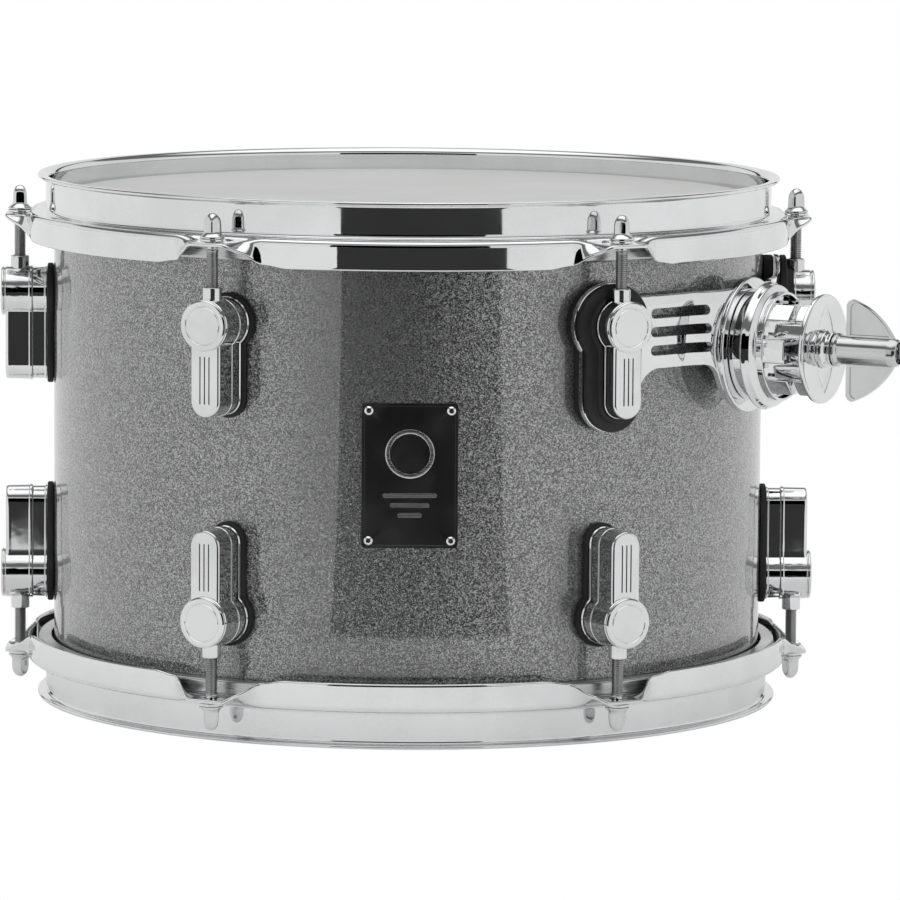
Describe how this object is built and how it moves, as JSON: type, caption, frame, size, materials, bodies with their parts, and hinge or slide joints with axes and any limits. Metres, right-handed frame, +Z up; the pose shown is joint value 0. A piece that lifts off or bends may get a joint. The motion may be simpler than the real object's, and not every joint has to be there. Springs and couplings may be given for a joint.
{
  "type": "tom tom drum",
  "caption": "Rack tom with a wrapped wood shell, two heads under flanged hoops, lugs with tension rods, and a plate-mounted arm clamp with a wing nut.",
  "frame": {"origin": "centre of the resonant (lower) head's outer face, on the drum's axis", "axes": "+Z up along the drum's axis towards the batter head; the badge faces -Y; the arm clamp points 60 degrees round from the badge towards +X"},
  "size_m": [0.3745, 0.324, 0.2224],
  "materials": {
    "shell_wood": "satin clear-lacquered maple plies",
    "shell_wrap": "glossy wrap with fine silver sparkle in dark grey",
    "batter_film": "white coated polyester film, fine matt grain",
    "resonant_film": "clear polyester film",
    "flesh_hoop": "satin extruded aluminium",
    "chrome": "bright chrome plate",
    "steel_rod": "plated steel with rolled threads",
    "rubber": "matt black moulded rubber",
    "badge": "satin black plate with a plain bright emblem",
    "rivet": "small polished rivets"
  },
  "bodies": {
    "root": {"shell": "shell_wood", "shell_wrap": "shell_wrap", "vent_grommet": "chrome", "batter_lug_1": "chrome", "batter_gasket_1": "rubber", "batter_lug_2": "chrome", "batter_gasket_2": "rubber", "batter_lug_3": "chrome", "batter_gasket_3": "rubber", "batter_lug_4": "chrome", "batter_lug_5": "chrome", "batter_lug_6": "chrome", "batter_gasket_6": "rubber", "resonant_lug_1": "chrome", "resonant_gasket_1": "rubber", "resonant_lug_2": "chrome", "resonant_gasket_2": "rubber", "resonant_lug_3": "chrome", "resonant_gasket_3": "rubber", "resonant_lug_4": "chrome", "resonant_gasket_4": "rubber", "resonant_lug_5": "chrome", "resonant_gasket_5": "rubber", "resonant_lug_6": "chrome", "resonant_gasket_6": "rubber", "mount_inner_pad_4": "rubber", "mount_outer_pad_4": "rubber", "mount_inner_pad_5": "rubber", "mount_outer_pad_5": "rubber", "mount_plate": "chrome", "clamp_base": "chrome", "clamp_stud": "steel_rod", "badge": "badge", "badge_rivet_1": "rivet", "badge_rivet_2": "rivet", "badge_rivet_3": "rivet", "badge_rivet_4": "rivet"},
    "batter_rim": {"batter_hoop": "chrome", "batter_flesh_hoop": "flesh_hoop", "batter_head": "batter_film"},
    "resonant_rim": {"resonant_hoop": "chrome", "resonant_flesh_hoop": "flesh_hoop", "resonant_head": "resonant_film"},
    "batter_rod_1": {"batter_rod_1": "steel_rod"},
    "batter_rod_2": {"batter_rod_2": "steel_rod"},
    "batter_rod_3": {"batter_rod_3": "steel_rod"},
    "batter_rod_4": {"batter_rod_4": "steel_rod"},
    "batter_rod_5": {"batter_rod_5": "steel_rod"},
    "batter_rod_6": {"batter_rod_6": "steel_rod"},
    "resonant_rod_1": {"resonant_rod_1": "steel_rod"},
    "resonant_rod_2": {"resonant_rod_2": "steel_rod"},
    "resonant_rod_3": {"resonant_rod_3": "steel_rod"},
    "resonant_rod_4": {"resonant_rod_4": "steel_rod"},
    "resonant_rod_5": {"resonant_rod_5": "steel_rod"},
    "resonant_rod_6": {"resonant_rod_6": "steel_rod"},
    "clamp_jaw": {"clamp_jaw": "chrome", "clamp_washer": "chrome"},
    "wing_nut": {"wing_nut": "chrome"}
  },
  "joints": [
    {"name": "batter_rim_lift", "type": "slide", "parent": "root", "child": "batter_rim", "axis": [0, 0, 1], "range_m": [0, 0.012]},
    {"name": "resonant_rim_lift", "type": "slide", "parent": "root", "child": "resonant_rim", "axis": [0, 0, -1], "range_m": [0, 0.012]},
    {"name": "batter_rod_1_turn", "type": "hinge", "parent": "batter_rim", "child": "batter_rod_1", "pos_m": [-0.08265, 0.14315, 0.2044], "axis": [0, 0, 1], "range_deg": [0, 5400.1]},
    {"name": "batter_rod_2_turn", "type": "hinge", "parent": "batter_rim", "child": "batter_rod_2", "pos_m": [-0.1653, 0, 0.2044], "axis": [0, 0, 1], "range_deg": [0, 5400.1]},
    {"name": "batter_rod_3_turn", "type": "hinge", "parent": "batter_rim", "child": "batter_rod_3", "pos_m": [-0.08265, -0.14315, 0.2044], "axis": [0, 0, 1], "range_deg": [0, 5400.1]},
    {"name": "batter_rod_4_turn", "type": "hinge", "parent": "batter_rim", "child": "batter_rod_4", "pos_m": [0.08265, -0.14315, 0.2044], "axis": [0, 0, 1], "range_deg": [0, 5400.1]},
    {"name": "batter_rod_5_turn", "type": "hinge", "parent": "batter_rim", "child": "batter_rod_5", "pos_m": [0.1653, 0, 0.2044], "axis": [0, 0, 1], "range_deg": [0, 5400.1]},
    {"name": "batter_rod_6_turn", "type": "hinge", "parent": "batter_rim", "child": "batter_rod_6", "pos_m": [0.08265, 0.14315, 0.2044], "axis": [0, 0, 1], "range_deg": [0, 5400.1]},
    {"name": "resonant_rod_1_turn", "type": "hinge", "parent": "resonant_rim", "child": "resonant_rod_1", "pos_m": [-0.08265, 0.14315, 0], "axis": [0, 0, -1], "range_deg": [0, 5400.1]},
    {"name": "resonant_rod_2_turn", "type": "hinge", "parent": "resonant_rim", "child": "resonant_rod_2", "pos_m": [-0.1653, 0, 0], "axis": [0, 0, -1], "range_deg": [0, 5400.1]},
    {"name": "resonant_rod_3_turn", "type": "hinge", "parent": "resonant_rim", "child": "resonant_rod_3", "pos_m": [-0.08265, -0.14315, 0], "axis": [0, 0, -1], "range_deg": [0, 5400.1]},
    {"name": "resonant_rod_4_turn", "type": "hinge", "parent": "resonant_rim", "child": "resonant_rod_4", "pos_m": [0.08265, -0.14315, 0], "axis": [0, 0, -1], "range_deg": [0, 5400.1]},
    {"name": "resonant_rod_5_turn", "type": "hinge", "parent": "resonant_rim", "child": "resonant_rod_5", "pos_m": [0.1653, 0, 0], "axis": [0, 0, -1], "range_deg": [0, 5400.1]},
    {"name": "resonant_rod_6_turn", "type": "hinge", "parent": "resonant_rim", "child": "resonant_rod_6", "pos_m": [0.08265, 0.14315, 0], "axis": [0, 0, -1], "range_deg": [0, 5400.1]},
    {"name": "clamp_jaw_slide", "type": "slide", "parent": "root", "child": "clamp_jaw", "axis": [0.866, -0.5, 0], "range_m": [0, 0.006]},
    {"name": "wing_nut_turn", "type": "hinge", "parent": "clamp_jaw", "child": "wing_nut", "pos_m": [0.18186, -0.105, 0.149], "axis": [0.866, -0.5, 0], "range_deg": [0, 1728]}
  ],
  "couplings": [
    {"joint": "batter_rod_1_turn", "follows": "batter_rim_lift", "rad_per_m": 7854},
    {"joint": "batter_rod_2_turn", "follows": "batter_rim_lift", "rad_per_m": 7854},
    {"joint": "batter_rod_3_turn", "follows": "batter_rim_lift", "rad_per_m": 7854},
    {"joint": "batter_rod_4_turn", "follows": "batter_rim_lift", "rad_per_m": 7854},
    {"joint": "batter_rod_5_turn", "follows": "batter_rim_lift", "rad_per_m": 7854},
    {"joint": "batter_rod_6_turn", "follows": "batter_rim_lift", "rad_per_m": 7854},
    {"joint": "resonant_rod_1_turn", "follows": "resonant_rim_lift", "rad_per_m": 7854},
    {"joint": "resonant_rod_2_turn", "follows": "resonant_rim_lift", "rad_per_m": 7854},
    {"joint": "resonant_rod_3_turn", "follows": "resonant_rim_lift", "rad_per_m": 7854},
    {"joint": "resonant_rod_4_turn", "follows": "resonant_rim_lift", "rad_per_m": 7854},
    {"joint": "resonant_rod_5_turn", "follows": "resonant_rim_lift", "rad_per_m": 7854},
    {"joint": "resonant_rod_6_turn", "follows": "resonant_rim_lift", "rad_per_m": 7854},
    {"joint": "wing_nut_turn", "follows": "clamp_jaw_slide", "rad_per_m": 5026.5}
  ]
}
